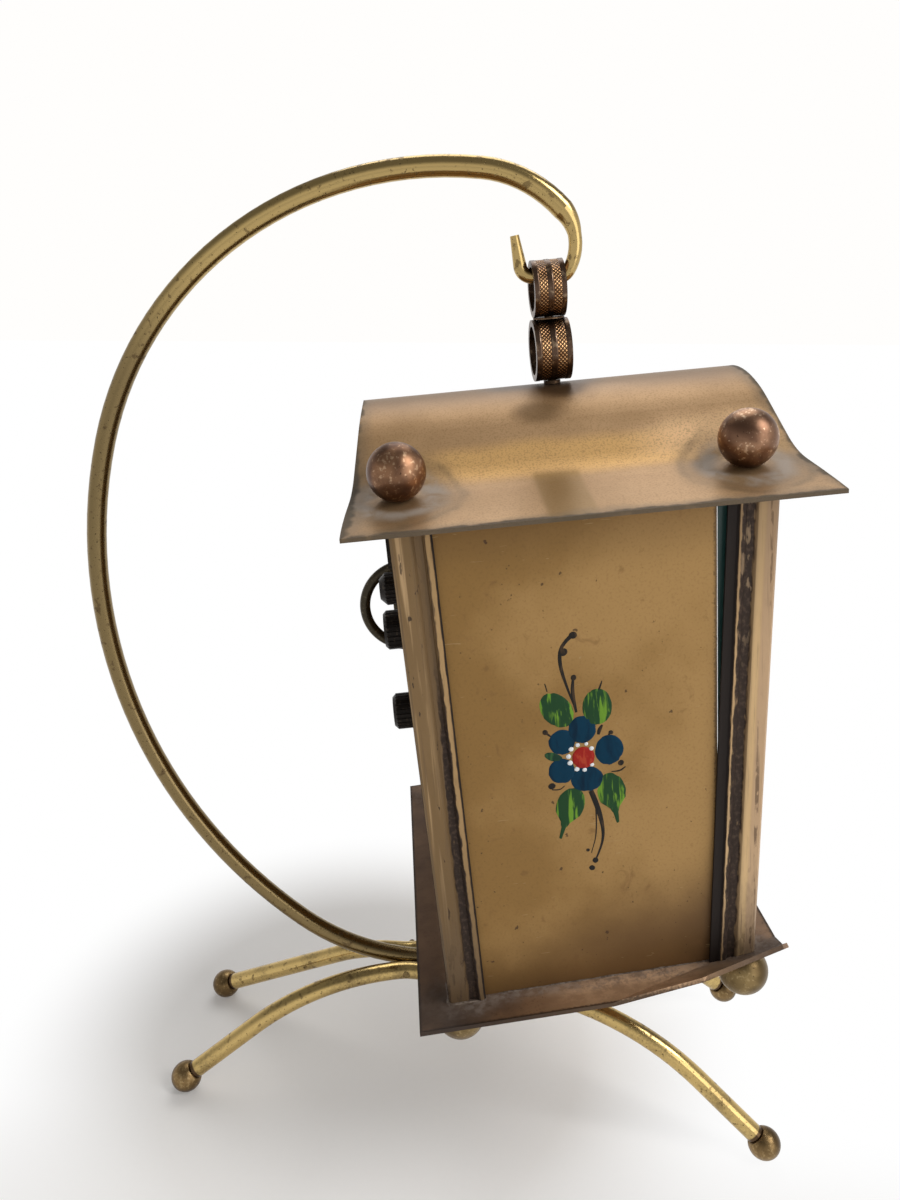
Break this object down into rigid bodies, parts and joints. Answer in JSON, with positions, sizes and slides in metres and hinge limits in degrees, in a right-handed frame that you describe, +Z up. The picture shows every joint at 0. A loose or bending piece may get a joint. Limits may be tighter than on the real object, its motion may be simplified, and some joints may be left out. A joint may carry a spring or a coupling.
{
  "type": "hanging lantern alarm clock",
  "caption": "Brass alarm clock in a lantern-shaped case with a curved roof, hanging by rings from a hook stand with ball feet.",
  "frame": {"origin": "on the floor, under the middle of the whole clock's bounding box", "axes": "+Z up, -Y towards the front foot pair and the dial side, +X to the right seen from the front"},
  "size_m": [0.1162, 0.1772, 0.2382],
  "materials": {
    "stand_brass": "polished, tarnished brown on top",
    "ring_copper": "aged copper brown",
    "roof_lacquer": "champagne gold lacquer, worn edges",
    "panel_gold": "golden brown satin with a painted flower",
    "post_brass": "cream gold worn to brown",
    "ball_bronze": "dark polished bronze",
    "plate_copper": "copper brown patina",
    "glass": "clear",
    "dial_paint": "cream enamel paint",
    "hand_black": "black",
    "dark_hardware": "near-black brown patina",
    "movement_brass": "brushed",
    "steel": "grey"
  },
  "bodies": {
    "stand": {"stem": "stand_brass", "stem_rivet": "stand_brass", "base_rod_near": "stand_brass", "base_rod_far": "stand_brass", "foot_ball_front_near": "stand_brass", "foot_ball_back_near": "stand_brass", "foot_ball_front_far": "stand_brass", "foot_ball_back_far": "stand_brass"},
    "hanger": {"upper_ring": "ring_copper", "swivel_rivet": "ring_copper"},
    "lantern": {"back_cover": "panel_gold", "bell": "movement_brass", "bottom_plate": "plate_copper", "cover_spacers": "movement_brass", "dial_feet": "movement_brass", "dial_plate": "dial_paint", "frame_screws": "steel", "front_glass": "glass", "glass_clips": "movement_brass", "lower_ring": "ring_copper", "movement_back_plate": "movement_brass", "movement_front_plate": "movement_brass", "pillars": "movement_brass", "plate_ball_back_far": "ball_bronze", "plate_ball_back_near": "ball_bronze", "plate_ball_front_far": "ball_bronze", "plate_ball_front_near": "ball_bronze", "post_back_far": "post_brass", "post_back_near": "post_brass", "post_front_far": "post_brass", "post_front_near": "post_brass", "roof": "roof_lacquer", "roof_ball_back_far": "ball_bronze", "roof_ball_back_near": "ball_bronze", "roof_ball_front_far": "ball_bronze", "roof_ball_front_near": "ball_bronze", "roof_rivet": "ring_copper", "side_panel_far": "panel_gold", "side_panel_near": "panel_gold"},
    "hand_shaft": {"centre_arbor": "steel", "minute_hand": "hand_black", "hand_setting_knob": "dark_hardware"},
    "hour_work": {"hour_pipe": "steel", "hour_hand": "hand_black"},
    "alarm_shaft": {"alarm_arbor": "steel", "alarm_hand": "hand_black", "alarm_setting_knob": "dark_hardware"},
    "winding_key": {"key_arbor": "steel", "time_barrel": "movement_brass"},
    "key_bow": {"key_bow": "dark_hardware"},
    "alarm_winder": {"alarm_winding_arbor": "steel", "alarm_winding_knob": "dark_hardware", "alarm_barrel": "movement_brass"},
    "stop_lever": {"alarm_stop_lever": "dark_hardware"},
    "regulator": {"regulator_lever": "dark_hardware"},
    "balance": {"balance_wheel": "movement_brass"},
    "hammer": {"hammer": "steel"}
  },
  "joints": [
    {"name": "hanger_swing", "type": "hinge", "parent": "stand", "child": "hanger", "pos_m": [-0.0002, -0.02346, 0.21326], "axis": [-0.1352, 0.987, -0.0872], "range_deg": [-15, 15]},
    {"name": "lantern_swivel", "type": "hinge", "parent": "hanger", "child": "lantern", "pos_m": [-0.0002, -0.02346, 0.21326], "axis": [-0.0118, 0.0863, 0.9962], "continuous": true},
    {"name": "hands_turn", "type": "hinge", "parent": "lantern", "child": "hand_shaft", "pos_m": [0.00073, -0.03024, 0.13503], "axis": [-0.1352, 0.987, -0.0872], "continuous": true},
    {"name": "hour_hand_turn", "type": "hinge", "parent": "lantern", "child": "hour_work", "pos_m": [0.00073, -0.03024, 0.13503], "axis": [-0.1352, 0.987, -0.0872], "continuous": true},
    {"name": "alarm_set_turn", "type": "hinge", "parent": "lantern", "child": "alarm_shaft", "pos_m": [0.00099, -0.03212, 0.11331], "axis": [-0.1352, 0.987, -0.0872], "continuous": true},
    {"name": "key_turn", "type": "hinge", "parent": "lantern", "child": "winding_key", "pos_m": [0.01906, -0.02775, 0.13473], "axis": [-0.1352, 0.987, -0.0872], "continuous": true},
    {"name": "bow_fold", "type": "hinge", "parent": "winding_key", "child": "key_bow", "pos_m": [0.01386, 0.01019, 0.13138], "axis": [-0.0118, 0.0863, 0.9962], "range_deg": [-80, 80]},
    {"name": "alarm_wind_turn", "type": "hinge", "parent": "lantern", "child": "alarm_winder", "pos_m": [-0.0173, -0.03128, 0.15116], "axis": [-0.1352, 0.987, -0.0872], "continuous": true},
    {"name": "stop_lever_tilt", "type": "hinge", "parent": "lantern", "child": "stop_lever", "pos_m": [0.00634, -0.02702, 0.16282], "axis": [-0.1352, 0.987, -0.0872], "range_deg": [-20, 20]},
    {"name": "regulator_tilt", "type": "hinge", "parent": "lantern", "child": "regulator", "pos_m": [0.00115, -0.03329, 0.09984], "axis": [-0.1352, 0.987, -0.0872], "range_deg": [-30, 30]},
    {"name": "balance_turn", "type": "hinge", "parent": "lantern", "child": "balance", "pos_m": [0.00115, -0.03329, 0.09984], "axis": [-0.1352, 0.987, -0.0872], "range_deg": [-150, 150]},
    {"name": "hammer_tilt", "type": "hinge", "parent": "lantern", "child": "hammer", "pos_m": [-0.0022, -0.03465, 0.08962], "axis": [-0.1352, 0.987, -0.0872], "range_deg": [-4, 12]}
  ],
  "couplings": [
    {"joint": "hour_hand_turn", "follows": "hands_turn", "ratio": 0.083333}
  ]
}
